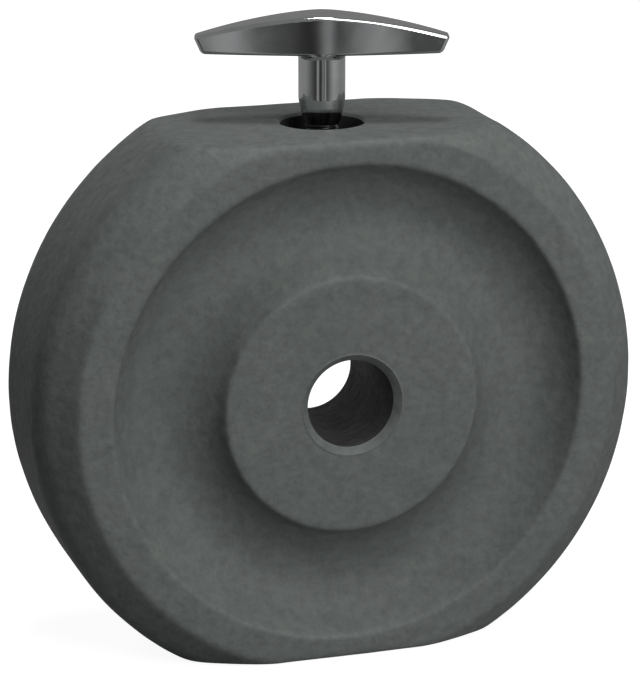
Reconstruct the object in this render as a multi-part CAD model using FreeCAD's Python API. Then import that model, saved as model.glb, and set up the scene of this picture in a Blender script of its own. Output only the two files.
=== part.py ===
"""Sliding counterweight with a T-handle clamp screw.

A cast-iron disc with a flat above and below, a through bore for a round bar, and a clamp
screw standing in the upper flat.  Millimetres, +Z up.  The origin is on the bore axis,
half way through the thickness; the bore runs along Y and the dished face looks to -Y.
"""
import FreeCAD, Part
import math
import os

# ---- disc -------------------------------------------------------------------------------
disc_radius = 59.0           # rim
disc_thickness = 38.1        # 1 1/2 in
flat_height = 50.1           # bore axis to either flat
flat_corner_radius = 6.8     # blend between a flat and the round rim
flat_edge_radius = 1.0       # soft front and back edge of a flat
rim_bevel = 4.2              # 45 degree bevel round each face
rim_round_radius = 8.9       # rounding between that bevel and the rim
hub_radius = 24.5
recess_radius = 45.7         # outer edge of the dished ring round the hub
trough_depth = 6.6           # deepest point of the ring below the face

# ---- back of the disc ---------------------------------------------------------------------
back_pocket_depth = 10.3     # the back of the hub stands this far below the back face
back_dish_sag = 1.6          # hollow of the sloping back wall below a straight cone

# ---- bore for the bar ---------------------------------------------------------------------
bore_radius = 8.4            # passes a 5/8 in (15.9 mm) bar
bore_chamfer_front = 1.3
bore_chamfer_back = 0.75

# ---- screw hole ---------------------------------------------------------------------------
counterbore_radius = 7.9     # the end of the shank sinks into it when the screw goes down
counterbore_depth = 8.0
thread_radius = 3.175        # 1/4-20, major
thread_clearance = 0.05
thread_mouth_chamfer = 0.6

# ---- clamp screw --------------------------------------------------------------------------
pad_gap = 0.5                # pad face drawn back above the bore wall
pad_head_radius = 2.4
pad_head_length = 2.5
pad_edge_chamfer = 0.4
pad_stem_radius = 1.2
pad_stem_length = 3.0
pad_stem_clearance = 0.05
pad_thrust_gap = 0.05
stem_end_gap = 0.3
stud_end_chamfer = 0.5
stud_inset = 7.0             # length of the stud held inside the knob

# ---- T-handle knob ------------------------------------------------------------------------
shank_radius = 4.4
shank_end_height = 49.7      # lower end of the shank, just inside the counterbore
shank_end_radius = 3.3       # where the tapered end meets the thread
shank_taper_length = 5.1
shank_fillet = 1.0           # flare under the crossbar
bar_underside_height = 63.1
bar_half_length = 23.9
bar_half_length_bottom = 22.4
bar_middle_half_width = 4.7
bar_end_half_width = 1.8
bar_middle_height = 7.4
bar_end_height = 3.3
bar_side_slope = 0.06        # lean of each half of a side, away from the middle ridge
bar_top_slope = 0.07         # fall of each half of the top
bar_ridge_softness = 2.0     # how gently the two halves meet in the middle
bar_edge_radius = 0.7
bar_rest_turn = -16.5        # degrees about the screw axis, as it was left standing

HALF = disc_thickness / 2.0
OVERRUN = 2.0                # how far cutting shapes run past the metal
Z_AXIS = FreeCAD.Vector(0, 0, 1)


def vec(x, y, z):
    return FreeCAD.Vector(x, y, z)


def line(a, b):
    return Part.LineSegment(a, b).toShape()


def arc(a, through, b):
    return Part.Arc(a, through, b).toShape()


def rod(radius, z_low, z_high):
    """Upright cylinder on the screw axis."""
    return Part.makeCylinder(radius, z_high - z_low, vec(0, 0, z_low), Z_AXIS)


def upright_turning(points):
    """Solid of revolution about the screw axis from (radius, height) corners."""
    corners = [vec(r, 0, z) for r, z in points]
    outline = Part.makePolygon(corners + [corners[0]])
    return Part.Face(outline).revolve(vec(0, 0, 0), Z_AXIS, 360)


def rim_edge(side):
    """Corners of the bevel and rounding at one face; side is -1 for the front, +1 for the back."""
    centre_r = disc_radius - rim_round_radius
    bevel_end_y = HALF - rim_bevel
    centre_y = bevel_end_y - rim_round_radius * math.sin(math.pi / 4.0)
    points = []
    for angle in (math.pi / 4.0, math.pi / 8.0, 0.0):
        radius = centre_r + rim_round_radius * math.cos(angle)
        depth = centre_y + rim_round_radius * math.sin(angle)
        points.append(vec(radius, side * depth, 0))
    face_edge = vec(points[0].x - rim_bevel, side * HALF, 0)
    return [face_edge] + points


def disc_turning():
    """The disc before its flats are cut: one closed section turned about the bore axis."""
    front = -HALF
    back = HALF
    hub_back = back - back_pocket_depth
    middle_r = (hub_radius + recess_radius) / 2.0
    face_edge_f, bevel_f, round_f, rim_f = rim_edge(-1)
    face_edge_b, bevel_b, round_b, rim_b = rim_edge(1)

    bore_front = vec(bore_radius, front + bore_chamfer_front, 0)
    mouth_front = vec(bore_radius + bore_chamfer_front, front, 0)
    hub_edge_f = vec(hub_radius, front, 0)
    trough_f = vec(middle_r, front + trough_depth, 0)
    recess_edge_f = vec(recess_radius, front, 0)
    recess_edge_b = vec(recess_radius, back, 0)
    slope_middle_b = vec(middle_r, (back + hub_back) / 2.0 - back_dish_sag, 0)
    hub_edge_b = vec(hub_radius, hub_back, 0)
    mouth_back = vec(bore_radius + bore_chamfer_back, hub_back, 0)
    bore_back = vec(bore_radius, hub_back - bore_chamfer_back, 0)

    section = Part.Wire([
        line(bore_front, mouth_front),
        line(mouth_front, hub_edge_f),
        arc(hub_edge_f, trough_f, recess_edge_f),
        line(recess_edge_f, face_edge_f),
        line(face_edge_f, bevel_f),
        arc(bevel_f, round_f, rim_f),
        line(rim_f, rim_b),
        arc(rim_b, round_b, bevel_b),
        line(bevel_b, face_edge_b),
        line(face_edge_b, recess_edge_b),
        arc(recess_edge_b, slope_middle_b, hub_edge_b),
        line(hub_edge_b, mouth_back),
        line(mouth_back, bore_back),
        line(bore_back, bore_front),
    ])
    return Part.Face(section).revolve(vec(0, 0, 0), vec(0, 1, 0), 360)


def flats_prism():
    """Outline seen from the front, two flats blended into the rim, run along Y."""
    blend_z = flat_height - flat_corner_radius
    reach = disc_radius - flat_corner_radius
    blend_x = math.sqrt(reach ** 2 - blend_z ** 2)
    on_rim = disc_radius / reach
    rim_x = blend_x * on_rim
    rim_z = blend_z * on_rim
    blend_angle = (math.atan2(blend_z, blend_x) + math.pi / 2.0) / 2.0
    mid_x = blend_x + flat_corner_radius * math.cos(blend_angle)
    mid_z = blend_z + flat_corner_radius * math.sin(blend_angle)

    y = -HALF - OVERRUN
    edges = [
        line(vec(-blend_x, y, flat_height), vec(blend_x, y, flat_height)),
        arc(vec(blend_x, y, flat_height), vec(mid_x, y, mid_z), vec(rim_x, y, rim_z)),
        arc(vec(rim_x, y, rim_z), vec(disc_radius, y, 0), vec(rim_x, y, -rim_z)),
        arc(vec(rim_x, y, -rim_z), vec(mid_x, y, -mid_z), vec(blend_x, y, -flat_height)),
        line(vec(blend_x, y, -flat_height), vec(-blend_x, y, -flat_height)),
        arc(vec(-blend_x, y, -flat_height), vec(-mid_x, y, -mid_z), vec(-rim_x, y, -rim_z)),
        arc(vec(-rim_x, y, -rim_z), vec(-disc_radius, y, 0), vec(-rim_x, y, rim_z)),
        arc(vec(-rim_x, y, rim_z), vec(-mid_x, y, mid_z), vec(-blend_x, y, flat_height)),
    ]
    return Part.Face(Part.Wire(edges)).extrude(vec(0, disc_thickness + 2 * OVERRUN, 0))


def edge_softener():
    """Block with rounded edges along X that softens the front and back edge of each flat."""
    length = 2 * (disc_radius + OVERRUN)
    block = Part.makeBox(length, disc_thickness, 2 * flat_height,
                         vec(-length / 2.0, -HALF, -flat_height))
    along_x = []
    for edge in block.Edges:
        tangent = edge.tangentAt(edge.FirstParameter)
        if abs(tangent.x) > 0.9:
            along_x.append(edge)
    return block.makeFillet(flat_edge_radius, along_x)


def screw_hole():
    """Counterbore in the upper flat, and the tapped hole from it down into the bore."""
    floor = flat_height - counterbore_depth
    hole_radius = thread_radius + thread_clearance
    counterbore = rod(counterbore_radius, floor, flat_height + OVERRUN)
    tapped = rod(hole_radius, 0.0, floor + OVERRUN)
    mouth = upright_turning([
        (0.0, floor - thread_mouth_chamfer),
        (hole_radius, floor - thread_mouth_chamfer),
        (hole_radius + thread_mouth_chamfer, floor),
        (0.0, floor),
    ])
    return counterbore.fuse(tapped).fuse(mouth)


def weight_body():
    disc = disc_turning().common(flats_prism()).common(edge_softener())
    return disc.cut(screw_hole())


def pad_face_height():
    return bore_radius + pad_gap


def stud_end_height():
    return pad_face_height() + pad_head_length + pad_thrust_gap


def swivel_pad():
    """Brass pad held loose in the end of the stud; it presses on the bar without turning."""
    low = pad_face_height()
    shoulder = low + pad_head_length
    top = shoulder + pad_thrust_gap + pad_stem_length
    return upright_turning([
        (0.0, low),
        (pad_head_radius - pad_edge_chamfer, low),
        (pad_head_radius, low + pad_edge_chamfer),
        (pad_head_radius, shoulder),
        (pad_stem_radius, shoulder),
        (pad_stem_radius, top),
        (0.0, top),
    ])


def clamp_stud():
    """Threaded rod, drawn at its major diameter, with a blind hole for the pad's stem."""
    low = stud_end_height()
    top = shank_end_height + stud_inset
    socket_radius = pad_stem_radius + pad_stem_clearance
    socket_top = low + pad_stem_length + stem_end_gap
    return upright_turning([
        (socket_radius, low),
        (thread_radius - stud_end_chamfer, low),
        (thread_radius, low + stud_end_chamfer),
        (thread_radius, top),
        (0.0, top),
        (0.0, socket_top),
        (socket_radius, socket_top),
    ])


def shank():
    """Round neck of the knob, tapering at its lower end to the thread."""
    taper_top = shank_end_height + shank_taper_length
    top = bar_underside_height + bar_end_height / 2.0
    taper_mid_r = shank_end_radius + 0.63 * (shank_radius - shank_end_radius)
    taper_mid_z = shank_end_height + 0.5 * shank_taper_length
    section = Part.Wire([
        line(vec(0, 0, shank_end_height), vec(shank_end_radius, 0, shank_end_height)),
        arc(vec(shank_end_radius, 0, shank_end_height), vec(taper_mid_r, 0, taper_mid_z),
            vec(shank_radius, 0, taper_top)),
        line(vec(shank_radius, 0, taper_top), vec(shank_radius, 0, top)),
        line(vec(shank_radius, 0, top), vec(0, 0, top)),
        line(vec(0, 0, top), vec(0, 0, shank_end_height)),
    ])
    return Part.Face(section).revolve(vec(0, 0, 0), Z_AXIS, 360)


def flare():
    """Hollow fillet from the neck to the underside of the bar, held inside the bar's sides."""
    low = bar_underside_height - shank_fillet
    wide = shank_radius + shank_fillet
    top = bar_underside_height + bar_edge_radius
    mid = shank_fillet * (1.0 - math.sqrt(0.5))
    section = Part.Wire([
        arc(vec(shank_radius, 0, low),
            vec(shank_radius + mid, 0, bar_underside_height - mid),
            vec(wide, 0, bar_underside_height)),
        line(vec(wide, 0, bar_underside_height), vec(wide, 0, top)),
        line(vec(wide, 0, top), vec(0, 0, top)),
        line(vec(0, 0, top), vec(0, 0, low)),
        line(vec(0, 0, low), vec(shank_radius, 0, low)),
    ])
    ring = Part.Face(section).revolve(vec(0, 0, 0), Z_AXIS, 360)
    return ring.common(bar_plan(low - OVERRUN, top + OVERRUN))


def ridged_curve(slope, total_fall):
    """Heights below the middle, along half the bar: two slopes meeting in a soft ridge."""
    stations = [0.0, 0.06, 0.15, 0.3, 0.5, 0.75, 1.0]
    soft = bar_ridge_softness
    ridge_fall = slope * (math.hypot(bar_half_length, soft) - soft)
    bow = total_fall - ridge_fall
    curve = []
    for station in stations:
        x = station * bar_half_length
        fall = slope * (math.hypot(x, soft) - soft) + bow * station ** 2
        curve.append((x, fall))
    return curve


def ridged_edge(half_curve, place):
    """Smooth edge over the whole bar from the half curve; place() makes each point."""
    left = [place(-x, fall) for x, fall in reversed(half_curve[1:])]
    right = [place(x, fall) for x, fall in half_curve]
    curve = Part.BSplineCurve()
    curve.interpolate(left + right)
    return curve.toShape()


def bar_plan(z_low, z_high):
    """Upright solid of the bar's outline seen from above."""
    end_x = bar_half_length
    end_y = bar_end_half_width
    mid_y = bar_middle_half_width
    side_curve = ridged_curve(bar_side_slope, mid_y - end_y)
    plan = Part.Wire([
        ridged_edge(side_curve, lambda x, fall: vec(x, fall - mid_y, z_low)),
        line(vec(end_x, -end_y, z_low), vec(end_x, end_y, z_low)),
        ridged_edge(side_curve, lambda x, fall: vec(x, mid_y - fall, z_low)),
        line(vec(-end_x, end_y, z_low), vec(-end_x, -end_y, z_low)),
    ])
    return Part.Face(plan).extrude(vec(0, 0, z_high - z_low))


def crossbar():
    """Bar of the T: bowed sides in plan, arched top, straight underside, slanted ends."""
    z = bar_underside_height
    y = -bar_middle_half_width - OVERRUN
    end_x = bar_half_length
    low_x = bar_half_length_bottom
    top_z = z + bar_middle_height
    top_curve = ridged_curve(bar_top_slope, bar_middle_height - bar_end_height)
    side = Part.Wire([
        line(vec(-low_x, y, z), vec(low_x, y, z)),
        line(vec(low_x, y, z), vec(end_x, y, z + bar_end_height)),
        ridged_edge(top_curve, lambda x, fall: vec(x, y, top_z - fall)),
        line(vec(-end_x, y, z + bar_end_height), vec(-low_x, y, z)),
    ])
    side_solid = Part.Face(side).extrude(vec(0, -2 * y, 0))
    bar = bar_plan(z, top_z + OVERRUN).common(side_solid)
    return bar.makeFillet(bar_edge_radius, bar.Edges)


def tee_knob():
    knob = crossbar().fuse(shank()).fuse(flare()).removeSplitter()
    socket = rod(thread_radius, shank_end_height - OVERRUN, shank_end_height + stud_inset)
    knob = knob.cut(socket)
    knob.rotate(vec(0, 0, 0), Z_AXIS, bar_rest_turn)
    return knob


def main():
    os.makedirs("parts", exist_ok=True)
    nodes = {
        "weight_body": weight_body(),
        "tee_knob": tee_knob(),
        "clamp_stud": clamp_stud(),
        "swivel_pad": swivel_pad(),
    }
    for name, shape in nodes.items():
        shape.exportStep("parts/" + name + ".step")


main()
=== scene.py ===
"""Sliding counterweight with a T-handle clamp screw: the visual model.

A painted cast-iron disc with a flat above and below, a dished ring round its hub and a
bore for a bar; a chromed T-handle, its threaded stud and the brass pad that presses on the
bar.  Shapes are worked out in millimetres and made in metres, in the frame of the CAD
model: the origin on the bore axis at half thickness, the dished face towards -Y, +Z up.
"""
import math

import bpy
import numpy as np
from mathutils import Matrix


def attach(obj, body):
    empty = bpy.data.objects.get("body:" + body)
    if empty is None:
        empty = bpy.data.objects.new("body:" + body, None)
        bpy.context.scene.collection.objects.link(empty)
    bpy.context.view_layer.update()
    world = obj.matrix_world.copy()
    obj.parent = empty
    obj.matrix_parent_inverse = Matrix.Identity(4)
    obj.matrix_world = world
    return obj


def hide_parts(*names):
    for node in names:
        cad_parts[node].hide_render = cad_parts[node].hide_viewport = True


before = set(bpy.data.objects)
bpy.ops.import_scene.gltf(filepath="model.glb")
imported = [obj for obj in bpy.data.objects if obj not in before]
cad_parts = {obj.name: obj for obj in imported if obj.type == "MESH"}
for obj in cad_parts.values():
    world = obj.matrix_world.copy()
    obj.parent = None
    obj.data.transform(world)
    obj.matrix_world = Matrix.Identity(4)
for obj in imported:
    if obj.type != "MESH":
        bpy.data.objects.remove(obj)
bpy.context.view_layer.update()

import openvdb
from mathutils import Matrix, Vector

MM = 0.001

# ---- disc, the CAD's dimensions in millimetres ---------------------------------------
DISC_RADIUS = 59.0
HALF_THICKNESS = 19.05
FLAT_HEIGHT = 50.1
FLAT_CORNER_RADIUS = 6.8
RIM_BEVEL = 4.2                # 45 degrees
RIM_ROUND_RADIUS = 8.9
HUB_RADIUS = 24.5
RECESS_RADIUS = 45.7
TROUGH_DEPTH = 6.6
BACK_POCKET_DEPTH = 10.3
BACK_DISH_SAG = 1.6
BORE_RADIUS = 8.4
BORE_CHAMFER_FRONT = 1.3
BORE_CHAMFER_BACK = 0.75
COUNTERBORE_RADIUS = 7.9
COUNTERBORE_DEPTH = 8.0
COUNTERBORE_BREAK = 0.45       # broken edge round the counterbore's mouth
THREAD_RADIUS = 3.175
THREAD_CLEARANCE = 0.05
THREAD_MOUTH_CHAMFER = 0.6

# ---- how the casting differs from a sharp, smooth turning ----------------------------
CAST_EDGE_SOFTNESS = 0.55      # standard deviation of the smoothing along the section
FLAT_EDGE_SOFTNESS = 1.05      # the same where a flat meets a face
FLAT_EDGE_REACH = 2.6          # how far along the section that goes
CAST_SHARE_SOFTNESS = 0.35     # the same from a cast run to a machined one
SECTION_STEP = 0.08            # spacing at which the section is smoothed
ROW_CLUSTERING = 0.82          # how far rows of faces gather at the ends of a cast run
CAST_SEED = 11
CAST_WAVES = (                 # cell size and height of the unevenness of a sand casting
    (26.0, 0.10),
    (9.0, 0.055),
    (3.2, 0.022),
)
ANGLE_COUNT = 760
ANGLE_SAMPLES = 14401
CORNER_DENSITY = 2.0           # extra columns of faces where a flat runs into the rim
CORNER_SPREAD = math.radians(4.0)
WEIGHT_SHARP_ANGLE = math.radians(40.0)
SCREW_HOLE_COLUMNS = 144
CUTTER_PAST_MOUTH = 0.3        # how far the cutter's break runs on above the flat
CUTTER_TOP = 3.0
MACHINED_MARGIN = 0.02         # how far outside a machined wall a face still counts as its own

# ---- clamp screw ---------------------------------------------------------------------
SHANK_RADIUS = 4.4
SHANK_END_HEIGHT = 49.7
SHANK_END_RADIUS = 3.3
SHANK_TAPER_LENGTH = 5.1
SHANK_TAPER_POWER = 1.43
SHANK_END_EDGE = 0.2
SHANK_FILLET = 1.0
FILLET_FADE = 0.97             # share of the fillet that is gone inside the bar
BAR_UNDERSIDE = 63.1
BAR_HALF_LENGTH = 23.9
BAR_HALF_LENGTH_BOTTOM = 22.4
BAR_MIDDLE_HALF_WIDTH = 4.7
BAR_END_HALF_WIDTH = 1.8
BAR_MIDDLE_HEIGHT = 7.4
BAR_END_HEIGHT = 3.3
BAR_SIDE_SLOPE = 0.06
BAR_TOP_SLOPE = 0.07
BAR_RIDGE_SOFTNESS = 2.0
BAR_EDGE_RADIUS = 0.7
BAR_REST_TURN = math.radians(-16.5)
KNOB_CELL = 0.2                # size of a face of the knob's mesh
KNOB_MARGIN = (1.0, 2.0, 1.0)
KNOB_EVENINGS = 6

STUD_LOW = 11.45
STUD_TOP = 56.7
THREAD_PITCH = 1.27            # 1/4-20
THREAD_DEPTH = 0.72
THREAD_CREST_SHARE = 0.125     # of half a pitch
THREAD_FLANK_SHARE = 0.72
THREAD_FLANK_CURVE = 0.35
STUD_COLUMNS = 72
STUD_ROWS_PER_PITCH = 18.0
STUD_LEAD_IN = 0.55
STUD_END_RING = 0.6
STUD_SHARP_ANGLE = math.radians(50.0)
STUD_SOCKET_RADIUS = 1.25
STUD_SOCKET_TOP = 14.75
PAD_LOW = 8.9
PAD_HEAD_TOP = 11.4
PAD_TOP = 14.45
PAD_HEAD_RADIUS = 2.4
PAD_STEM_RADIUS = 1.2
PAD_ROUNDING = 0.4
PAD_HEAD_CHAMFER = 0.15
PAD_STEM_CHAMFER = 0.2
PAD_COLUMNS = 72
PAD_SHARP_ANGLE = math.radians(35.0)

# ---- camera and light ----------------------------------------------------------------
CAMERA_AZIMUTH = math.radians(-17.756)     # from the front, towards +X
CAMERA_ELEVATION = math.radians(15.910)
CAMERA_PLACE = Vector((-0.17827, -0.55561, 0.17409))
CAMERA_LENS = 169.24
CAMERA_SENSOR = 36.0
CAMERA_CLIP = (0.01, 20.0)
SCENE_MIDDLE = Vector((0.0, 0.0, 0.01))

LAMP_DISTANCE = 1.2            # metres
# Name, azimuth and elevation in degrees, size in metres, watts, and whether gloss mirrors it.
LIGHTS = (
    ("overhead", 0.0, 86.0, 0.3, 6.6, True),
    ("high", 13.0, 54.0, 0.7, 6.9, True),
    ("low_right", 24.0, 12.0, 0.7, 7.7, True),
    ("back", 186.0, 10.0, 0.7, 6.5, False),
)
WORLD_SOFT = 0.01              # what lights the object from all round
WORLD_MIRRORED = 0.22          # what gloss and chrome see of the room
FLOOR_GLOW = 0.93              # of the floor, to the camera only
FLOOR_HALF_SIZE = 3000.0

# Painted reflection: grey bands that the floor glows with to gloss and chrome only, all round in
# place of the white floor, like pale and dark cards in a studio: azimuth from the front towards +X
# in degrees, and brightness.
PAINTED_REFLECTION_BANDS = (
    (-110.0, 0.28),
    (-45.0, 0.05),
    (-36.0, 0.36),
    (-30.0, 0.10),
    (-22.0, 0.03),
    (-10.0, 0.25),
    (-7.0, 0.08),
    (0.0, 0.33),
    (6.0, 0.08),
    (45.0, 0.35),
    (90.0, 0.25),
    (150.0, 0.28),
)


# ---- general helpers -----------------------------------------------------------------
def new_object(name, points, faces, smooth_angle=None):
    """Mesh object from points in millimetres and faces."""
    mesh = bpy.data.meshes.new(name)
    mesh.from_pydata([tuple(p) for p in np.asarray(points) * MM], [], faces)
    mesh.update()
    mesh.shade_smooth()
    if smooth_angle is not None:
        mesh.set_sharp_from_angle(angle=smooth_angle)
    obj = bpy.data.objects.new(name, mesh)
    bpy.context.scene.collection.objects.link(obj)
    return obj


def arc_through(a, b, c, count):
    """Points on the arc from a through b to c, ends included."""
    (ax, ay), (bx, by), (cx, cy) = a, b, c
    twice_area = 2.0 * (ax * (by - cy) + bx * (cy - ay) + cx * (ay - by))
    a2, b2, c2 = ax * ax + ay * ay, bx * bx + by * by, cx * cx + cy * cy
    ux = (a2 * (by - cy) + b2 * (cy - ay) + c2 * (ay - by)) / twice_area
    uy = (a2 * (cx - bx) + b2 * (ax - cx) + c2 * (bx - ax)) / twice_area
    radius = math.hypot(ax - ux, ay - uy)
    start, middle, end = (math.atan2(y - uy, x - ux) for x, y in (a, b, c))
    turn = math.tau
    to_middle = (middle - start) % turn
    to_end = (end - start) % turn
    if to_middle > to_end:
        to_end -= turn
    angles = start + np.linspace(0.0, 1.0, count) * to_end
    return np.stack([ux + radius * np.cos(angles), uy + radius * np.sin(angles)], axis=1)


def straight(a, b, count):
    """Points on the line from a to b, ends included."""
    return np.linspace(np.array(a, float), np.array(b, float), count)


def spread(count, clustering):
    """count fractions from 0 up to but not including 1, closer together near both ends."""
    even = np.arange(count) / count
    eased = 0.5 - 0.5 * np.cos(np.pi * even)
    return (1.0 - clustering) * even + clustering * eased


def lattice_noise(points, cell, seed):
    """Smooth noise between about -1 and 1 from a random value at each corner of a lattice."""
    place = points / cell
    corner = np.floor(place).astype(int)
    share = place - corner
    share = share * share * share * (share * (share * 6.0 - 15.0) + 10.0)
    corner = corner - corner.min(axis=0)
    size = corner.max(axis=0) + 2
    values = np.random.default_rng(seed).uniform(-1.0, 1.0, size)
    total = np.zeros(len(points))
    for i in (0, 1):
        for j in (0, 1):
            for k in (0, 1):
                weight = np.ones(len(points))
                for axis, step in enumerate((i, j, k)):
                    weight *= share[:, axis] if step else 1.0 - share[:, axis]
                at = values[corner[:, 0] + i, corner[:, 1] + j, corner[:, 2] + k]
                total += weight * at
    return total


def grid_faces(rows, columns, wrap_rows, wrap_columns):
    """Quads of a grid whose point (row, column) has index row * columns + column."""
    row_end = rows if wrap_rows else rows - 1
    column_end = columns if wrap_columns else columns - 1
    faces = []
    for r in range(row_end):
        here = r * columns
        above = ((r + 1) % rows) * columns
        for c in range(column_end):
            d = (c + 1) % columns
            faces.append((here + c, here + d, above + d, above + c))
    return faces


def capped_rings(name, points, columns, low, high, smooth_angle):
    """Closed object from rings of points, with a point on the screw axis at each end."""
    rows = len(points) // columns
    faces = grid_faces(rows, columns, False, True)
    first, last = len(points), len(points) + 1
    top = (rows - 1) * columns
    for c in range(columns):
        d = (c + 1) % columns
        faces.append((first, d, c))
        faces.append((last, top + c, top + d))
    ends = np.array([[0.0, 0.0, low], [0.0, 0.0, high]])
    return new_object(name, np.vstack([points, ends]), faces, smooth_angle)


def turned(name, outline, count, smooth_angle):
    """Closed turning about the screw axis; the outline's first and last points are on it."""
    outline = np.array(outline, float)
    angles = np.arange(count) * math.tau / count
    rings = outline[1:-1]
    x = rings[:, :1] * np.cos(angles)
    y = rings[:, :1] * np.sin(angles)
    z = np.repeat(rings[:, 1:], count, axis=1)
    points = np.stack([x, y, z], axis=2).reshape(-1, 3)
    return capped_rings(name, points, count, outline[0, 1], outline[-1, 1], smooth_angle)


# ---- the weight ----------------------------------------------------------------------
def outline_limit(angles):
    """Distance from the bore axis to the outline, by angle from the screw axis."""
    folded = np.abs(np.angle(np.exp(1j * np.asarray(angles))))
    folded = np.minimum(folded, np.pi - folded)
    blend_z = FLAT_HEIGHT - FLAT_CORNER_RADIUS
    blend_x = math.sqrt((DISC_RADIUS - FLAT_CORNER_RADIUS) ** 2 - blend_z ** 2)
    along = np.sin(folded) * blend_x + np.cos(folded) * blend_z
    centre2 = blend_x ** 2 + blend_z ** 2
    corner = along + np.sqrt(np.maximum(along ** 2 - centre2 + FLAT_CORNER_RADIUS ** 2, 0.0))
    flat = FLAT_HEIGHT / np.maximum(np.cos(folded), 0.1)
    on_flat = folded <= math.atan2(blend_x, FLAT_HEIGHT)
    on_rim = folded >= math.atan2(blend_x, blend_z)
    return np.where(on_flat, flat, np.where(on_rim, DISC_RADIUS, corner))


def column_angles():
    """Angles of the mesh's columns, closer together where a flat runs into the rim."""
    fine = np.linspace(0.0, math.tau, ANGLE_SAMPLES)
    folded = np.abs(np.angle(np.exp(1j * fine)))
    folded = np.minimum(folded, np.pi - folded)
    corner = math.acos(FLAT_HEIGHT / DISC_RADIUS)
    density = 1.0 + CORNER_DENSITY * np.exp(-((folded - corner) / CORNER_SPREAD) ** 2)
    total = np.concatenate([[0.0], np.cumsum((density[1:] + density[:-1]) / 2.0)])
    levels = np.arange(ANGLE_COUNT) / ANGLE_COUNT * total[-1]
    return np.interp(levels, total, fine)


def section(limit):
    """Radial section of the disc out to the limit: runs of (radius, y) points."""
    front, back = -HALF_THICKNESS, HALF_THICKNESS
    hub_back = back - BACK_POCKET_DEPTH
    middle = (HUB_RADIUS + RECESS_RADIUS) / 2.0
    quarter = math.pi / 4.0
    round_r = DISC_RADIUS - RIM_ROUND_RADIUS
    bevel_r = round_r + RIM_ROUND_RADIUS * math.cos(quarter)
    bevel_y = back - RIM_BEVEL
    round_y = bevel_y - RIM_ROUND_RADIUS * math.sin(quarter)
    face_edge = bevel_r - RIM_BEVEL
    bevel_share = np.linspace(0.0, np.clip((limit - face_edge) / RIM_BEVEL, 0.0, 1.0), 40)
    end_angle = quarter
    if limit > bevel_r:
        end_angle = math.acos(min(1.0, (limit - round_r) / RIM_ROUND_RADIUS))
    around = np.linspace(quarter, end_angle, 40)
    bevel = np.stack([face_edge + RIM_BEVEL * bevel_share, back - RIM_BEVEL * bevel_share], axis=1)
    rounding = np.stack([round_r + RIM_ROUND_RADIUS * np.cos(around),
                         round_y + RIM_ROUND_RADIUS * np.sin(around)], axis=1)
    if limit > bevel_r:
        bevel = np.vstack([bevel[:-1], rounding])
    bevel[:, 0] = np.minimum(bevel[:, 0], limit)
    ring = straight((RECESS_RADIUS, back), bevel[0], 30)
    outer_back = np.vstack([ring[:-1], bevel])
    outer_front = outer_back * (1.0, -1.0)
    wall_y = outer_back[-1, 1]
    return [
        straight((BORE_RADIUS, hub_back - BORE_CHAMFER_BACK),
                 (BORE_RADIUS, front + BORE_CHAMFER_FRONT), 40),
        straight((BORE_RADIUS, front + BORE_CHAMFER_FRONT),
                 (BORE_RADIUS + BORE_CHAMFER_FRONT, front), 12),
        straight((BORE_RADIUS + BORE_CHAMFER_FRONT, front), (HUB_RADIUS, front), 60),
        arc_through((HUB_RADIUS, front), (middle, front + TROUGH_DEPTH),
                    (RECESS_RADIUS, front), 160),
        outer_front,
        straight((limit, -wall_y), (limit, wall_y), 120),
        outer_back[::-1],
        arc_through((RECESS_RADIUS, back), (middle, (back + hub_back) / 2.0 - BACK_DISH_SAG),
                    (HUB_RADIUS, hub_back), 120),
        straight((HUB_RADIUS, hub_back), (BORE_RADIUS + BORE_CHAMFER_BACK, hub_back), 60),
        straight((BORE_RADIUS + BORE_CHAMFER_BACK, hub_back),
                 (BORE_RADIUS, hub_back - BORE_CHAMFER_BACK), 8),
    ]


SECTION_ROWS = (22, 4, 34, 72, 60, 64, 46, 48, 26, 4)    # rows of faces on each run
MACHINED_RUNS = (0, 1, 9)
WALL_RUN = 5                   # across the rim or a flat


def soft_section(limit):
    """Rows of (radius, y, cast share) round the section, its cast edges softened."""
    runs = section(limit)
    points = np.vstack([run[:-1] for run in runs])
    cast = np.concatenate([
        np.full(len(run) - 1, 0.0 if number in MACHINED_RUNS else 1.0)
        for number, run in enumerate(runs)
    ])
    closed = np.vstack([points, points[:1]])
    steps = np.hypot(*np.diff(closed, axis=0).T)
    lengths = np.concatenate([[0.0], np.cumsum(steps)])
    total = lengths[-1]
    count = int(math.ceil(total / SECTION_STEP))
    even = np.arange(count) * total / count
    frequency = np.fft.rfftfreq(count, d=total / count)

    def blurred(values, sigma):
        gain = np.exp(-2.0 * (np.pi * sigma * frequency) ** 2)
        return np.fft.irfft(np.fft.rfft(values) * gain, count)

    sharp = [np.interp(even, lengths, closed[:, axis]) for axis in (0, 1)]
    share = np.interp(even, lengths, np.append(cast, cast[0]))
    share = np.clip(2.0 * blurred(share, CAST_SHARE_SOFTNESS) - 1.0, 0.0, 1.0)
    starts = np.concatenate([[0], np.cumsum([len(run) - 1 for run in runs])])
    near_edge = sum(np.exp(-((even - lengths[starts[run]]) / FLAT_EDGE_REACH) ** 4)
                    for run in (WALL_RUN, WALL_RUN + 1))
    shaped = []
    for values in sharp:
        soft = blurred(values, CAST_EDGE_SOFTNESS)
        soft += near_edge * (blurred(values, FLAT_EDGE_SOFTNESS) - soft)
        shaped.append(values + share * (soft - values))
    rows = []
    for number, rows_here in enumerate(SECTION_ROWS):
        begin, end = lengths[starts[number]], lengths[starts[number + 1]]
        clustering = 0.0 if number in MACHINED_RUNS else ROW_CLUSTERING
        rows.append(begin + spread(rows_here, clustering) * (end - begin))
    rows = np.concatenate(rows)
    return np.stack([np.interp(rows, even, values, period=total)
                     for values in (*shaped, share)], axis=1)


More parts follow.
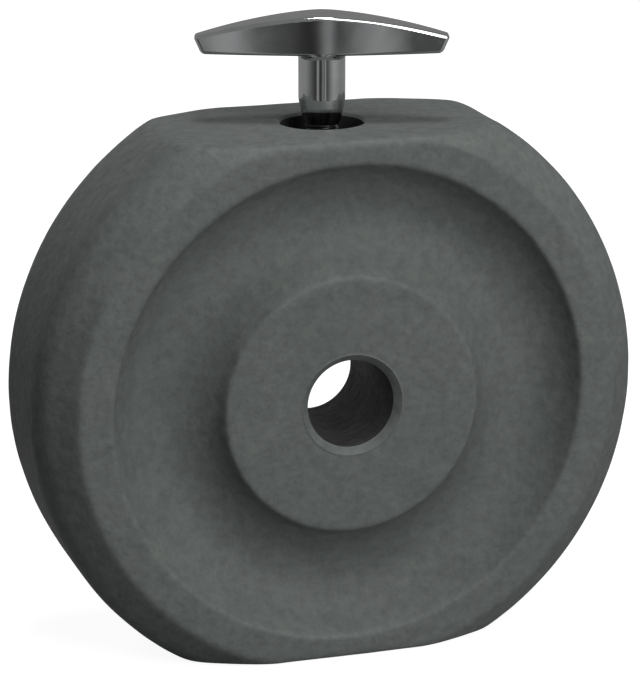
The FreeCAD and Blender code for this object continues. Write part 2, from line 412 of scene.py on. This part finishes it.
def screw_hole_cutter():
    """Closed turning that cuts the counterbore and the tapped hole down into the bore."""
    floor = FLAT_HEIGHT - COUNTERBORE_DEPTH
    hole = THREAD_RADIUS + THREAD_CLEARANCE
    mouth = FLAT_HEIGHT
    return turned("screw_hole_cutter", [
        (0.0, 0.0),
        (hole, 0.0),
        (hole, floor - THREAD_MOUTH_CHAMFER),
        (hole + THREAD_MOUTH_CHAMFER, floor),
        (COUNTERBORE_RADIUS, floor),
        (COUNTERBORE_RADIUS, mouth - COUNTERBORE_BREAK),
        (COUNTERBORE_RADIUS + COUNTERBORE_BREAK + CUTTER_PAST_MOUTH,
         mouth + CUTTER_PAST_MOUTH),
        (COUNTERBORE_RADIUS + COUNTERBORE_BREAK + CUTTER_PAST_MOUTH, mouth + CUTTER_TOP),
        (0.0, mouth + CUTTER_TOP),
    ], SCREW_HOLE_COLUMNS, None)


def cut_away(obj, cutter):
    """Cuts the cutter's shape out of obj and removes the cutter."""
    cut = obj.modifiers.new("cut", "BOOLEAN")
    cut.operation = "DIFFERENCE"
    cut.solver = "MANIFOLD"
    cut.object = cutter
    depsgraph = bpy.context.evaluated_depsgraph_get()
    mesh = bpy.data.meshes.new_from_object(obj.evaluated_get(depsgraph))
    obj.modifiers.clear()
    obj.data = mesh
    mesh.materials.clear()
    bpy.data.objects.remove(cutter)


def cast_weight():
    """The casting: a closed grid round the bore axis, uneven as sand castings are."""
    angles = column_angles()
    rows = np.stack([soft_section(limit) for limit in outline_limit(angles)])
    radius, depth, cast = rows[..., 0], rows[..., 1], rows[..., 2]
    across = np.sin(angles)[:, None]
    up = np.cos(angles)[:, None]
    points = np.stack([radius * across, depth, radius * up], axis=2)

    along_row = np.roll(points, -1, axis=1) - np.roll(points, 1, axis=1)
    round_axis = np.roll(points, -1, axis=0) - np.roll(points, 1, axis=0)
    normals = np.cross(round_axis, along_row)
    normals /= np.linalg.norm(normals, axis=2, keepdims=True)
    flat_points = points.reshape(-1, 3)
    height = np.zeros(len(flat_points))
    for number, (cell, size) in enumerate(CAST_WAVES):
        height += size * lattice_noise(flat_points, cell, CAST_SEED + number)
    flat_points = flat_points + normals.reshape(-1, 3) * (height * cast.reshape(-1))[:, None]
    faces = grid_faces(len(angles), points.shape[1], True, True)
    body = new_object("cast_weight", flat_points, faces)
    cut_away(body, screw_hole_cutter())
    body.data.name = "cast_weight"
    body.data.shade_smooth()
    body.data.set_sharp_from_angle(angle=WEIGHT_SHARP_ANGLE)
    return body


def mark_bore_painted_shade(body, inside_slot):
    """Gives the bore's wall and the screw hole the machined material, whose near-black tone is
    painted shade.
    """
    mesh = body.data
    centres = np.zeros(len(mesh.polygons) * 3)
    mesh.polygons.foreach_get("center", centres)
    x, y, z = centres.reshape(-1, 3).T / MM
    off_bore = np.hypot(x, z)
    in_bore = off_bore < BORE_RADIUS + MACHINED_MARGIN
    off_screw = np.hypot(x, y)
    in_hole = (off_screw < COUNTERBORE_RADIUS + MACHINED_MARGIN) & (z > 0)
    index = np.where(in_bore | in_hole, inside_slot, 0).astype(np.int32)
    mesh.polygons.foreach_set("material_index", index)


# ---- the knob ------------------------------------------------------------------------
def ridge_fall(x, slope, total_fall):
    """Fall from the middle of the bar at x: two slopes meeting in a soft ridge, and a bow."""
    soft = BAR_RIDGE_SOFTNESS
    at_end = slope * (math.hypot(BAR_HALF_LENGTH, soft) - soft)
    along = np.hypot(x, soft) - soft
    return slope * along + (total_fall - at_end) * (x / BAR_HALF_LENGTH) ** 2


def round_meet(distances, radius):
    """Distance to the part inside all the given distances, its edges rounded."""
    beyond = [np.maximum(d + radius, 0.0) ** 2 for d in distances]
    inside = np.maximum.reduce(list(distances))
    return np.minimum(-radius, inside) + np.sqrt(np.add.reduce(beyond))


def round_join(a, b, radius):
    """Distance to the union of two parts with a fillet where they meet."""
    near = np.hypot(np.maximum(radius - a, 0.0), np.maximum(radius - b, 0.0))
    return np.maximum(radius, np.minimum(a, b)) - near


def knob_distance(x, y, z):
    """Signed distance to the knob's surface, in the bar's own direction, millimetres."""
    width = BAR_MIDDLE_HALF_WIDTH - ridge_fall(
        x, BAR_SIDE_SLOPE, BAR_MIDDLE_HALF_WIDTH - BAR_END_HALF_WIDTH)
    top = BAR_UNDERSIDE + BAR_MIDDLE_HEIGHT - ridge_fall(
        x, BAR_TOP_SLOPE, BAR_MIDDLE_HEIGHT - BAR_END_HEIGHT)
    lean = math.atan2(BAR_HALF_LENGTH - BAR_HALF_LENGTH_BOTTOM, BAR_END_HEIGHT)
    end = ((np.abs(x) - BAR_HALF_LENGTH_BOTTOM) * math.cos(lean)
           - (z - BAR_UNDERSIDE) * math.sin(lean))
    bar = round_meet((np.abs(y) - width, z - top, BAR_UNDERSIDE - z, end), BAR_EDGE_RADIUS)

    up_taper = np.clip((z - SHANK_END_HEIGHT) / SHANK_TAPER_LENGTH, 0.0, 1.0)
    narrowing = (1.0 - up_taper) ** SHANK_TAPER_POWER
    shank_r = SHANK_RADIUS - (SHANK_RADIUS - SHANK_END_RADIUS) * narrowing
    middle_of_bar = BAR_UNDERSIDE + BAR_MIDDLE_HEIGHT / 2.0
    shank = round_meet((np.hypot(x, y) - shank_r, SHANK_END_HEIGHT - z, z - middle_of_bar),
                       SHANK_END_EDGE)
    into_bar = np.clip((z - BAR_UNDERSIDE) / BAR_EDGE_RADIUS, 0.0, FILLET_FADE)
    return round_join(bar, shank, SHANK_FILLET * (1.0 - into_bar))


def downhill(points, step=0.004):
    """Distance at each point, and its gradient."""
    value = knob_distance(*points.T)
    slope = []
    for axis in range(3):
        shift = np.zeros(3)
        shift[axis] = step
        ahead = knob_distance(*(points + shift).T)
        behind = knob_distance(*(points - shift).T)
        slope.append((ahead - behind) / (2.0 * step))
    return value, np.stack(slope, axis=1)


def onto_surface(points, rounds=3):
    """Points moved on to the knob's surface, by Newton steps."""
    for _ in range(rounds):
        value, slope = downhill(points)
        points = points - slope * (value / np.maximum((slope ** 2).sum(axis=1), 1e-9))[:, None]
    return points


def tee_knob():
    """The knob as one closed quad mesh, evened out and put exactly on its surface."""
    margin = np.array(KNOB_MARGIN)
    low = np.array([-BAR_HALF_LENGTH, -BAR_MIDDLE_HALF_WIDTH, SHANK_END_HEIGHT]) - margin
    high = np.array([BAR_HALF_LENGTH, BAR_MIDDLE_HALF_WIDTH,
                     BAR_UNDERSIDE + BAR_MIDDLE_HEIGHT]) + margin
    counts = np.ceil((high - low) / KNOB_CELL).astype(int)
    axes = [low[i] + KNOB_CELL * np.arange(counts[i]) for i in range(3)]
    field = knob_distance(*np.meshgrid(*axes, indexing="ij"))
    grid = openvdb.FloatGrid()
    grid.copyFromArray(field.astype(np.float32))
    points, quads = grid.convertToQuads(isovalue=0.0)
    points = points * KNOB_CELL + low
    edges = np.vstack([quads[:, [i, (i + 1) % 4]] for i in range(4)])
    edges = np.unique(np.sort(edges, axis=1), axis=0)
    degree = np.bincount(edges.ravel(), minlength=len(points))[:, None]
    points = onto_surface(points)
    for _ in range(KNOB_EVENINGS):
        total = np.zeros_like(points)
        np.add.at(total, edges[:, 0], points[edges[:, 1]])
        np.add.at(total, edges[:, 1], points[edges[:, 0]])
        points = onto_surface(0.5 * points + 0.5 * total / degree, 1)
    points = onto_surface(points)
    normals = downhill(points)[1]
    normals /= np.linalg.norm(normals, axis=1, keepdims=True)

    c, s = math.cos(BAR_REST_TURN), math.sin(BAR_REST_TURN)
    turn = np.array([[c, -s, 0.0], [s, c, 0.0], [0.0, 0.0, 1.0]])
    knob = new_object("chrome_knob", points @ turn.T, [tuple(q) for q in quads.tolist()])
    knob.data.normals_split_custom_set_from_vertices([tuple(n) for n in normals @ turn.T])
    return knob


# ---- stud and pad --------------------------------------------------------------------
def thread_radius(turns):
    """Radius of the thread's surface, by how many pitches along it a point lies."""
    along = np.abs((turns % 1.0) - 0.5) * 2.0
    flank = np.clip((along - THREAD_CREST_SHARE) / THREAD_FLANK_SHARE, 0.0, 1.0)
    soft = flank * flank * (3.0 - 2.0 * flank)
    curved = THREAD_FLANK_CURVE * soft + (1.0 - THREAD_FLANK_CURVE) * flank
    return THREAD_RADIUS - THREAD_DEPTH * curved


def threaded_stud():
    """The stud with its helical thread, and a socket in its lower end for the pad."""
    columns = STUD_COLUMNS
    angles = np.arange(columns) * math.tau / columns
    heights = np.arange(STUD_LOW, STUD_TOP, THREAD_PITCH / STUD_ROWS_PER_PITCH)
    turns = heights[:, None] / THREAD_PITCH - angles / math.tau
    radius = thread_radius(turns)
    lead_in = THREAD_RADIUS - STUD_LEAD_IN + (heights[:, None] - STUD_LOW)
    radius = np.minimum(radius, lead_in)
    socket = [(STUD_SOCKET_RADIUS, STUD_SOCKET_TOP), (STUD_SOCKET_RADIUS, STUD_LOW),
              (STUD_SOCKET_RADIUS + STUD_END_RING, STUD_LOW)]
    rings = [(np.full(columns, r), z) for r, z in socket]
    rings += [(radius[i], z) for i, z in enumerate(heights)]
    rings.append((np.full(columns, THREAD_RADIUS - THREAD_DEPTH), STUD_TOP))
    points = np.vstack([
        np.stack([r * np.cos(angles), r * np.sin(angles), np.full(columns, z)], axis=1)
        for r, z in rings
    ])
    return capped_rings("threaded_stud", points, columns, STUD_SOCKET_TOP, STUD_TOP,
                        STUD_SHARP_ANGLE)


def brass_pad():
    """The pad: a round head with a stem that sits in the stud's socket."""
    edge = PAD_ROUNDING
    rounding = [
        (PAD_HEAD_RADIUS - edge + edge * math.sin(a), PAD_LOW + edge - edge * math.cos(a))
        for a in np.linspace(0.0, math.pi / 2.0, 7)
    ]
    return turned("brass_pad", [
        (0.0, PAD_LOW),
        *rounding,
        (PAD_HEAD_RADIUS, PAD_HEAD_TOP - PAD_HEAD_CHAMFER),
        (PAD_HEAD_RADIUS - PAD_HEAD_CHAMFER, PAD_HEAD_TOP),
        (PAD_STEM_RADIUS, PAD_HEAD_TOP),
        (PAD_STEM_RADIUS, PAD_TOP - PAD_STEM_CHAMFER),
        (PAD_STEM_RADIUS - PAD_STEM_CHAMFER, PAD_TOP),
        (0.0, PAD_TOP),
    ], PAD_COLUMNS, PAD_SHARP_ANGLE)


# ---- materials -----------------------------------------------------------------------
class Surface:
    """A node material, with short calls for the nodes that it uses."""

    def __init__(self, name):
        self.material = bpy.data.materials.new(name)
        self.material.use_nodes = True
        self.tree = self.material.node_tree
        self.shader = self.tree.nodes["Principled BSDF"]
        self.place = self.tree.nodes.new("ShaderNodeTexCoord").outputs["Object"]

    def link(self, source, target):
        self.tree.links.new(source, target)

    def node(self, kind, **settings):
        made = self.tree.nodes.new(kind)
        for key, value in settings.items():
            setattr(made, key, value)
        return made

    def stretched(self, scale):
        """The place, stretched by a factor along each axis."""
        mapping = self.node("ShaderNodeMapping")
        mapping.inputs["Scale"].default_value = scale
        self.link(self.place, mapping.inputs["Vector"])
        return mapping.outputs["Vector"]

    def noise(self, size_mm, detail=2.0, roughness=0.5, place=None):
        made = self.node("ShaderNodeTexNoise")
        made.inputs["Scale"].default_value = 1.0 / (size_mm * MM)
        made.inputs["Detail"].default_value = detail
        made.inputs["Roughness"].default_value = roughness
        self.link(place or self.place, made.inputs["Vector"])
        return made.outputs["Fac"]

    def ranged(self, value, low, high, out_low=0.0, out_high=1.0):
        made = self.node("ShaderNodeMapRange")
        for name, number in (("From Min", low), ("From Max", high),
                             ("To Min", out_low), ("To Max", out_high)):
            made.inputs[name].default_value = number
        self.link(value, made.inputs["Value"])
        return made.outputs["Result"]

    def math(self, operation, a, b):
        made = self.node("ShaderNodeMath", operation=operation)
        for socket, value in zip(made.inputs, (a, b)):
            if isinstance(value, (int, float)):
                socket.default_value = value
            else:
                self.link(value, socket)
        return made.outputs["Value"]

    def mixed(self, factor, a, b):
        made = self.node("ShaderNodeMix", data_type="RGBA")
        self.link(factor, made.inputs["Factor"])
        for socket, value in ((made.inputs["A"], a), (made.inputs["B"], b)):
            if isinstance(value, tuple):
                socket.default_value = (*value, 1.0)
            else:
                self.link(value, socket)
        return made.outputs["Result"]

    def bumped(self, height, depth_mm, below=None):
        made = self.node("ShaderNodeBump")
        made.inputs["Distance"].default_value = depth_mm * MM
        self.link(height, made.inputs["Height"])
        if below is not None:
            self.link(below, made.inputs["Normal"])
        return made.outputs["Normal"]

    def finish(self, colour, roughness, normal):
        self.link(colour, self.shader.inputs["Base Color"])
        self.link(roughness, self.shader.inputs["Roughness"])
        self.link(normal, self.shader.inputs["Normal"])
        return self.material


def painted_iron():
    """Grey paint, slightly green, over the fine grain of a sand casting."""
    s = Surface("painted_iron")
    broad = s.ranged(s.noise(24.0, 3.0, 0.55), 0.32, 0.68)
    patches = s.ranged(s.noise(5.0, 3.0, 0.62), 0.32, 0.68)
    mottle = s.ranged(s.noise(1.9, 2.0, 0.55), 0.34, 0.66)
    grain = s.ranged(s.noise(0.75, 2.0, 0.6), 0.3, 0.7)
    tone = s.mixed(broad, (0.088, 0.100, 0.094), (0.104, 0.113, 0.110))
    tone = s.mixed(s.math("MULTIPLY", patches, 0.62), tone, (0.128, 0.140, 0.128))
    tone = s.mixed(s.math("MULTIPLY", mottle, 0.58), tone, (0.068, 0.075, 0.075))
    tone = s.mixed(s.math("MULTIPLY", grain, 0.22), tone, (0.150, 0.160, 0.155))
    roughness = s.ranged(s.noise(1.6, 3.0, 0.6), 0.25, 0.75, 0.50, 0.68)
    normal = s.bumped(s.noise(2.4, 2.0, 0.5), 0.13)
    normal = s.bumped(s.noise(0.95, 2.0, 0.55), 0.065, normal)
    s.shader.inputs["Specular IOR Level"].default_value = 0.22
    return s.finish(tone, roughness, normal)


def machined_iron_painted_shade():
    """Bored and spot-faced iron with fine tool marks and a little overspray; its near-black tone
    is painted shade for the inside of the bore and the screw hole.
    """
    s = Surface("machined_iron_painted_shade")
    rings = s.noise(0.35, 2.0, 0.5, s.stretched((0.05, 1.0, 0.05)))
    stain = s.ranged(s.noise(3.2, 4.0, 0.6), 0.35, 0.65)
    # painted shade: these near-black tones stand in for the shade inside the bore and the screw
    # hole
    tone = s.mixed(stain, (0.010, 0.010, 0.011), (0.030, 0.030, 0.029))
    tone = s.mixed(s.ranged(rings, 0.4, 0.7), tone, (0.048, 0.048, 0.047))
    roughness = s.ranged(s.noise(1.1, 3.0, 0.6), 0.3, 0.7, 0.48, 0.68)
    normal = s.bumped(rings, 0.02)
    s.shader.inputs["Specular IOR Level"].default_value = 0.35
    return s.finish(tone, roughness, normal)


def chrome():
    """Plated die casting: bright, with faint waviness, fine scratches and smears."""
    s = Surface("chrome")
    smear = s.ranged(s.noise(5.0, 3.0, 0.6), 0.35, 0.7)
    scratch = s.noise(0.12, 2.0, 0.6, s.stretched((0.08, 1.0, 1.0)))
    tone = s.mixed(smear, (0.60, 0.61, 0.62), (0.68, 0.69, 0.69))
    roughness = s.ranged(s.math("ADD", s.math("MULTIPLY", smear, 0.6),
                                s.math("MULTIPLY", scratch, 0.4)),
                         0.1, 0.9, 0.05, 0.11)
    normal = s.bumped(s.noise(7.0, 1.0, 0.4), 0.05)
    normal = s.bumped(scratch, 0.0012, normal)
    s.shader.inputs["Metallic"].default_value = 1.0
    return s.finish(tone, roughness, normal)


def stud_steel():
    """Steel made dark as painted shade for the stud down in its hole, duller in patches and where
    it has been handled.
    """
    s = Surface("stud_steel")
    dull = s.ranged(s.noise(1.8, 4.0, 0.6), 0.35, 0.7)
    # painted shade: these dark tones stand in for the shade down in the screw hole
    tone = s.mixed(dull, (0.20, 0.20, 0.20), (0.09, 0.09, 0.09))
    roughness = s.ranged(s.noise(0.7, 3.0, 0.6), 0.3, 0.7, 0.24, 0.42)
    normal = s.bumped(s.noise(0.3, 2.0, 0.6), 0.008)
    s.shader.inputs["Metallic"].default_value = 1.0
    return s.finish(tone, roughness, normal)


def pad_brass():
    """Turned brass with ring marks, browned where it has been handled."""
    s = Surface("pad_brass")
    tarnish = s.ranged(s.noise(1.5, 4.0, 0.6), 0.35, 0.7)
    tone = s.mixed(tarnish, (0.56, 0.37, 0.13), (0.35, 0.21, 0.08))
    roughness = s.ranged(s.noise(0.6, 3.0, 0.6), 0.3, 0.7, 0.25, 0.42)
    normal = s.bumped(s.noise(0.12, 1.0, 0.5, s.stretched((0.1, 0.1, 1.0))), 0.006)
    s.shader.inputs["Metallic"].default_value = 1.0
    return s.finish(tone, roughness, normal)


# ---- floor, light and camera ---------------------------------------------------------
def floor_painted_reflection(s):
    """Painted reflection: shows glowing grey bands, as surroundings, instead of the white floor to
    gloss and chrome.
    """
    apart = s.node("ShaderNodeSeparateXYZ")
    s.link(s.place, apart.inputs["Vector"])
    azimuth = s.math("ARCTAN2", apart.outputs["X"],
                     s.math("MULTIPLY", apart.outputs["Y"], -1.0))
    ramp = s.node("ShaderNodeValToRGB")
    s.link(s.ranged(azimuth, -math.pi, math.pi), ramp.inputs["Fac"])
    bands = ramp.color_ramp
    bands.interpolation = "EASE"
    while len(bands.elements) < len(PAINTED_REFLECTION_BANDS):
        bands.elements.new(1.0)
    for band, (_, grey) in zip(bands.elements, PAINTED_REFLECTION_BANDS):
        band.color = (grey, grey, grey, 1.0)
    for band, (degrees, _) in zip(bands.elements, PAINTED_REFLECTION_BANDS):
        band.position = degrees / 360.0 + 0.5
    painted_reflection_glow = s.node("ShaderNodeEmission")
    s.link(ramp.outputs["Color"], painted_reflection_glow.inputs["Color"])
    either = s.node("ShaderNodeMixShader")
    s.link(s.node("ShaderNodeLightPath").outputs["Is Glossy Ray"], either.inputs[0])
    s.link(s.shader.outputs["BSDF"], either.inputs[1])
    s.link(painted_reflection_glow.outputs["Emission"], either.inputs[2])
    s.link(either.outputs["Shader"], s.tree.nodes["Material Output"].inputs["Surface"])


def floor():
    """Plain floor at the lower flat: pale grey to the light, glowing white to the camera, glowing
    bands of painted reflection to gloss and chrome.
    """
    size = FLOOR_HALF_SIZE
    z = -FLAT_HEIGHT
    corners = [(-size, -size, z), (size, -size, z), (size, size, z), (-size, size, z)]
    plane = new_object("floor", corners, [(0, 1, 2, 3)])
    s = Surface("floor_white")
    tone = s.mixed(s.noise(60.0, 3.0, 0.5), (0.24, 0.24, 0.24), (0.26, 0.26, 0.26))
    roughness = s.ranged(s.noise(20.0, 2.0, 0.5), 0.3, 0.7, 0.75, 0.9)
    normal = s.bumped(s.noise(15.0, 2.0, 0.5), 0.02)
    s.finish(tone, roughness, normal)
    s.shader.inputs["Specular IOR Level"].default_value = 0.1
    s.shader.inputs["Emission Color"].default_value = (1.0, 1.0, 1.0, 1.0)
    s.link(s.math("MULTIPLY", s.node("ShaderNodeLightPath").outputs["Is Camera Ray"],
                  FLOOR_GLOW), s.shader.inputs["Emission Strength"])
    # painted reflection: glowing bands that only gloss and chrome see
    floor_painted_reflection(s)
    plane.data.materials.append(s.material)


def direction(azimuth, elevation):
    """Unit vector towards an azimuth from the front, towards +X, and an elevation."""
    return Vector((math.sin(azimuth) * math.cos(elevation),
                   -math.cos(azimuth) * math.cos(elevation),
                   math.sin(elevation)))


def facing(towards):
    """Rotation of a lamp or camera that looks against that direction."""
    return towards.to_track_quat("Z", "Y").to_matrix().to_4x4()


def studio_lights():
    for name, azimuth, elevation, size, power, mirrored in LIGHTS:
        lamp = bpy.data.lights.new(name, "AREA")
        lamp.shape = "SQUARE"
        lamp.size = size
        lamp.energy = power
        towards = direction(math.radians(azimuth), math.radians(elevation))
        obj = bpy.data.objects.new(name, lamp)
        place = Matrix.Translation(SCENE_MIDDLE + towards * LAMP_DISTANCE)
        obj.matrix_world = place @ facing(towards)
        obj.visible_camera = False
        obj.visible_glossy = mirrored
        bpy.context.scene.collection.objects.link(obj)


def studio_world():
    """White to the camera, a soft grey to gloss and chrome, nearly dark to the rest."""
    world = bpy.data.worlds.new("studio")
    world.use_nodes = True
    tree = world.node_tree
    path = tree.nodes.new("ShaderNodeLightPath")
    below = None
    for name, strength, ray in (("soft", WORLD_SOFT, None),
                                ("mirrored", WORLD_MIRRORED, "Is Glossy Ray"),
                                ("seen", 1.0, "Is Camera Ray")):
        shade = tree.nodes.new("ShaderNodeBackground")
        shade.name = name
        shade.inputs["Color"].default_value = (1.0, 1.0, 1.0, 1.0)
        shade.inputs["Strength"].default_value = strength
        output = shade.outputs[0]
        if below is not None:
            mix = tree.nodes.new("ShaderNodeMixShader")
            tree.links.new(path.outputs[ray], mix.inputs[0])
            tree.links.new(below, mix.inputs[1])
            tree.links.new(output, mix.inputs[2])
            output = mix.outputs[0]
        below = output
    tree.links.new(below, tree.nodes["World Output"].inputs["Surface"])
    bpy.context.scene.world = world


def camera():
    data = bpy.data.cameras.new("camera")
    data.lens = CAMERA_LENS
    data.sensor_width = CAMERA_SENSOR
    data.clip_start, data.clip_end = CAMERA_CLIP
    obj = bpy.data.objects.new("camera", data)
    back = direction(CAMERA_AZIMUTH, CAMERA_ELEVATION)
    obj.matrix_world = Matrix.Translation(CAMERA_PLACE) @ facing(back)
    bpy.context.scene.collection.objects.link(obj)
    bpy.context.scene.camera = obj


# ---- the scene -----------------------------------------------------------------------
def place_piece(obj, body, node, slot, *materials):
    for material in materials:
        obj.data.materials.append(material)
    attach(obj, body)
    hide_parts(node)


def main():
    weight = cast_weight()
    place_piece(weight, "weight", "weight_body", "painted_iron",
                painted_iron(), machined_iron_painted_shade())
    # the bore and the screw hole get the near-black material of painted shade
    mark_bore_painted_shade(weight, 1)
    place_piece(tee_knob(), "screw", "tee_knob", "chrome", chrome())
    place_piece(threaded_stud(), "screw", "clamp_stud", "stud_steel", stud_steel())
    place_piece(brass_pad(), "pad", "swivel_pad", "pad_brass", pad_brass())
    floor()
    studio_lights()
    studio_world()
    camera()
    bpy.context.scene.view_settings.view_transform = "Standard"

    bpy.context.view_layer.update()


main()
